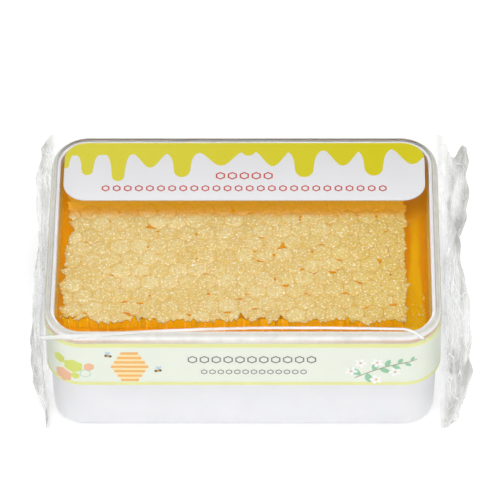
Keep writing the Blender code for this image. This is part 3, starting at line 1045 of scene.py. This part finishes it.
def make_prints():
    """Plain shapes in place of lettering: rows of cells, and the band's leaves and blossom."""
    red = row_of_cells(26, 0.0, 4.6, 3.15, 1.25, 0.42) + row_of_cells(5, 0.0, 9.6, 3.4, 1.5, 0.45)
    yield "top_label", printed("red_cells", red, on_lid, ink("red_ink", (206, 74, 62)))
    grey = row_of_cells(11, 2.5, 10.4, 3.3, 1.5, 0.42) + row_of_cells(13, 3.0, 5.4, 2.3, 1.0, 0.3)
    dark, light = icon_stripes(-31.5, 7.5, 5.9)
    green = [hexagon(-51.3, 9.0, 1.9), hexagon(-47.2, 7.4, 2.9, 0.9), hexagon(-46.7, 3.6, 1.3)]
    peach = [hexagon(-42.8, 7.4, 1.6), hexagon(-50.2, 2.9, 2.7)]
    pale = hexagon_lines(-43.9, 4.7, 1.7, 0.3)
    bodies, bands, wings = insects()
    stem, leaves = sprig()
    petals, hearts = blossoms()
    for name, shapes, ink_name, colour, raised in (
        ("grey_cells", grey, "grey_ink", (120, 120, 124), 0.0),
        ("icon_dark", dark, "orange_ink", (246, 184, 96), 0.0),
        ("icon_light", light, "cream_ink", (252, 226, 172), 0.0),
        ("green_cells", green, "lime_ink", (216, 224, 108), 0.0),
        ("peach_cells", peach, "peach_ink", (243, 190, 152), 0.0),
        ("pale_cells", pale, "sage_ink", (196, 220, 204), 0.0),
        ("insect_bodies", bodies, "brown_ink", (110, 92, 74), 0.0),
        ("insect_bands", bands, "gold_ink", (226, 172, 92), 0.0),
        ("insect_wings", wings, "blue_ink", (196, 218, 240), 0.0),
        ("sprig_stem", stem, "stem_ink", (170, 160, 140), 0.0),
        ("sprig_leaves", leaves, "leaf_ink", (150, 203, 165), 0.0),
        ("petals", petals, "petal_ink", (252, 252, 253), INK / 2),
        ("hearts", hearts, "heart_ink", (234, 204, 126), INK),
    ):
        yield "band_label", printed(name, shapes, on_band, ink(ink_name, colour), raised)


def ink(name, colour):
    return label_paper(name, linear(*colour))


def make_band_borders(material):
    low, high = BAND[0][2], BAND_TOP
    near, far = BAND_OUT - 0.05 * MM, BAND_OUT + INK
    upper = sleeve("band_border_upper", high - 1.4 * MM, high, near, far, material)
    lower = sleeve("band_border_lower", low, low + 1.2 * MM, near, far, material)
    return upper, lower


# ---------------------------------------------------------------- film

def clamp(value):
    return min(1.0, max(0.0, value))


def make_film(material):
    """A skin round the box, drawn in to a crushed fin at each end."""
    stations = [(-1, 1 - i / 30) for i in range(31)]
    stations += [(0, i / 30 - 1) for i in range(1, 60)]
    stations += [(1, i / 30) for i in range(31)]
    bm = bmesh.new()
    crush_layer = bm.verts.layers.float.new("crush")
    rings = []
    for side, t in stations:
        ring = []
        for turn in range(FILM_ROUND):
            place, crush = film_place(side, t, turn / FILM_ROUND)
            ring.append(bm.verts.new(place))
            ring[-1][crush_layer] = crush
        rings.append(ring)
    join_rings(bm, rings, capped=False)
    shut_end(bm, rings[0])
    shut_end(bm, rings[-1])
    film = as_object("crinkled_film", bm, material, 60.0)
    film.visible_shadow = False
    return film


def shut_end(bm, ring):
    """Joins a drawn-in end's upper edge to its lower one, from halfway up its front."""
    height = FILM_TOP - FILM_LOW
    first = round(FILM_ROUND * height / 2 / (2 * height + 4 * FILM[1][1]))
    for k in range(FILM_ROUND // 2):
        steps = (first + k, first + k + 1, first - k - 1, first - k)
        bm.faces.new(dict.fromkeys(ring[step % FILM_ROUND] for step in steps))


FILM_ROUND = 240
FILM_HALF_X = LID_HALF[0] + 0.9 * MM
FILM_HALF_Y = LID_HALF[1] + 0.8 * MM
FILM_LOW = FILM[0][2]
FILM_TOP = LID[1][2] + 0.75 * MM
FILM_REACH = {-1: MIDDLE_X - FILM_HALF_X - FILM[0][0], 1: FILM[1][0] - MIDDLE_X - FILM_HALF_X}
FIN_HEIGHT = 19 * MM  # where the fins stand at the middle of the box's depth
FIN_CLIMB = 0.3  # and how much higher they stand further back
# Where each fin is shorter: the middle of the nick, its half width and its depth
FILM_NICKS = {
    -1: ((-44 * MM, 18 * MM, 5.4 * MM), (12 * MM, 16 * MM, 1.2 * MM), (44 * MM, 14 * MM, 1.6 * MM)),
    1: ((-44 * MM, 18 * MM, 4.0 * MM), (8 * MM, 16 * MM, 2.4 * MM), (16 * MM, 4 * MM, 2.4 * MM)),
}


def film_place(side, t, share):
    """A point of the film and how crushed it is there, at a share of the way round.

    side is -1 or 1 in an end, where t runs from the box out, and 0 along the box, where t runs
    from -1 to 1.
    """
    if side:
        x = MIDDLE_X + side * (FILM_HALF_X + t * FILM_REACH[side])
        half_y = FILM_HALF_Y + t * (FILM[1][1] - FILM_HALF_Y)
        shut = 0.98 * t ** 1.25
        loose = 0.06 + 0.5 * clamp(3 * t) * (1 - 0.6 * t)
    else:
        x = MIDDLE_X + t * FILM_HALF_X
        half_y, shut, loose = FILM_HALF_Y, 0.0, 0.06
    y, z, outward = section_point(share, half_y, x)
    z += shut * (FIN_HEIGHT + FIN_CLIMB * y - z)
    ridge = noise.noise(Vector((x / (2.6 * MM), y / (26 * MM), z / (8 * MM) + side * 7)))
    coarse = noise.noise(Vector((x / (6 * MM), y / (14 * MM), z / (9 * MM))))
    push = loose * MM * (0.7 * (1 - 2 * abs(ridge)) + 0.9 * coarse - 0.5)
    place = Vector((x, y, z)) + push * Vector((0.5 * side, *outward))
    if not side:
        place.z = max(place.z, FILM_LOW)
        return place, 0.2 * clamp(1 - (FILM_HALF_X - abs(x - MIDDLE_X)) / (2 * MM))
    frayed = MM * (0.9 + 0.9 * noise.noise(Vector((y / (5 * MM), side, 2.0))))
    place.x -= side * t * (frayed + sum(broken(y, *nick) for nick in FILM_NICKS[side]))
    place.z = max(place.z, FILM_LOW + 0.02 * MM)
    behind = clamp((y - 20 * MM) / (18 * MM))
    if side > 0:
        place.y -= behind * broken(t, 0.48, 0.4, 7 * MM)
    least, most = (0.35, 0.8) if side < 0 else (0.2, 1.0)
    full = most * clamp((t - 0.1 - 0.1 * behind) / 0.35) * (1 - 0.2 * behind)
    return place, least + (1 - least) * full


def section_point(share, half_y, x):
    """A point at a share of the way round the film, and its outward direction, in Y and Z.

    The way round goes up the front, back over the top, down the back and under.
    """
    height, depth = FILM_TOP - FILM_LOW, 2 * half_y
    distance = share * 2 * (height + depth)
    for length, start, way in (
        (height, (-half_y, FILM_LOW), (0, 1)), (depth, (-half_y, FILM_TOP), (1, 0)),
        (height, (half_y, FILM_TOP), (0, -1)), (depth, (half_y, FILM_LOW), (-1, 0)),
    ):
        if distance <= length:
            break
        distance -= length
    y, z = start[0] + way[0] * distance, start[1] + way[1] * distance
    soft = 1 - min(1.0, abs(x - MIDDLE_X) / (56 * MM)) ** 4
    for out_y, out_z, radius in (
        (-1, -1, 1.2 * MM), (-1, 1, (1.0 + 3.6 * soft) * MM), (1, 1, 2.0 * MM), (1, -1, 1.2 * MM),
    ):
        middle_y = out_y * (half_y - radius)
        middle_z = FILM_TOP - radius if out_z > 0 else FILM_LOW + radius
        past_y, past_z = (y - middle_y) * out_y, (z - middle_z) * out_z
        if past_y > 0 and past_z > 0:
            angle = math.atan2(past_z, past_y)
            reach = max(past_y, past_z)
            outward = (out_y * math.cos(angle), out_z * math.sin(angle))
            return middle_y + reach * outward[0], middle_z + reach * outward[1], outward
    return y, z, (-way[1], way[0])


# ---------------------------------------------------------------- stage

def area_light(name, place, target, size, power):
    lamp = bpy.data.lights.new(name, "AREA")
    lamp.shape = "RECTANGLE"
    lamp.size, lamp.size_y = size
    lamp.energy = power
    obj = linked(name, lamp)
    obj.location = place
    direction = Vector(target) - obj.location
    obj.rotation_euler = direction.to_track_quat("-Z", "Y").to_euler()


def make_camera():
    """A long lens a good way off, looking down on the front; level along the box's length."""
    drop, distance = math.radians(46.643), 1.2984
    aim = Vector((MIDDLE_X + 14.193 * MM, 0.0, 20.0 * MM))
    forward = Vector((0.0, math.cos(drop), -math.sin(drop)))
    upward = Vector((0.0, math.sin(drop), math.cos(drop)))
    aside = Vector((1.0, 0.0, 0.0))
    look = (forward - 0.0096757 * aside + 0.0064395 * upward).normalized()
    right = (aside - look * aside.dot(look)).normalized()
    data = bpy.data.cameras.new("camera")
    data.sensor_width, data.lens = 36.0, 328.608
    camera = linked("camera", data)
    turn = Matrix((right, right.cross(look), -look)).transposed().to_4x4()
    camera.matrix_world = Matrix.Translation(aim - distance * forward) @ turn
    bpy.context.scene.camera = camera


def make_stage():
    bm = bmesh.new()
    bmesh.ops.create_grid(bm, x_segments=1, y_segments=1, size=3.0)
    floor = as_object("floor", bm, pale_floor())
    world = bpy.data.worlds.new("studio")
    bpy.context.scene.world = world
    world.use_nodes = True
    graph = Graph(world.node_tree)
    world.node_tree.nodes.clear()
    seen = graph.add("ShaderNodeBackground", {}, {"Color": (1, 1, 1, 1), "Strength": 1.0})
    way = graph.add("ShaderNodeTexCoord").outputs["Generated"]
    settings, sockets = {"operation": "DOT_PRODUCT"}, {0: way, 1: (0.0, 0.687, 0.727)}
    toward = graph.term("ShaderNodeVectorMath", settings, sockets, "Value")
    walls = 0.75 - 0.25 * graph.rise(graph.separate(way)[2], 0.2, 0.5)
    walls = walls * (1.0 - 0.97 * graph.rise(toward, 0.88, 0.96))
    ambient = graph.add("ShaderNodeBackground", {}, {"Color": (1, 1, 1, 1), "Strength": walls})
    path = graph.add("ShaderNodeLightPath").outputs["Is Camera Ray"]
    sockets = {0: path, 1: ambient.outputs[0], 2: seen.outputs[0]}
    both = graph.term("ShaderNodeMixShader", {}, sockets)
    graph.join(both, graph.add("ShaderNodeOutputWorld").inputs[0])
    bpy.context.scene.view_settings.view_transform = "Standard"
    area_light("top_softbox", (0.0, -0.15, 1.5), (0, 0, 0), (1.0, 0.9), 9.0)
    area_light("front_fill", (0.0, -1.6, 0.9), (0, 0, 0.02), (1.6, 0.9), 4.0)
    area_light("left_fill", (-1.5, -0.3, 0.6), (0, 0, 0.02), (0.8, 0.8), 1.5)
    area_light("right_fill", (1.5, -0.3, 0.6), (0, 0, 0.02), (0.8, 0.8), 1.5)


def place_piece(piece, slot, *nodes):
    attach(piece, "root")
    if nodes:
        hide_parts(*nodes)


make_camera()
make_stage()
place_piece(make_tub(white_plastic()), "tub", "tub")
place_piece(make_lid(clear_plastic()), "lid", "lid")
surface, deep = make_honey(clear_honey(), deep_honey())
place_piece(surface, "honey", "honey")
place_piece(deep, "honey")
place_piece(make_bubbles(bubble_gloss()), "honey")
place_piece(make_caps(cap_wax(), cell_honey()), "comb", "comb")
place_piece(make_cell_walls(wall_wax()), "comb")
white_label = label_paper("white_label", linear(240, 240, 242))
place_piece(make_top_label(white_label), "top_label", "top_label")
place_piece(make_drips(drip_ink()), "top_label")
field = sleeve(
    "band_label_sheet", BAND[0][2], BAND_TOP, 0.02 * MM, BAND_OUT,
    label_paper("green_label", linear(235, 241, 227)),
)
place_piece(field, "band_label", "band_label")
for border in make_band_borders(label_paper("border_ink", linear(234, 236, 158))):
    place_piece(border, "band_label")
for slot, print_piece in make_prints():
    place_piece(print_piece, slot)
place_piece(make_film(crinkled_film()), "film", "film_wrap")
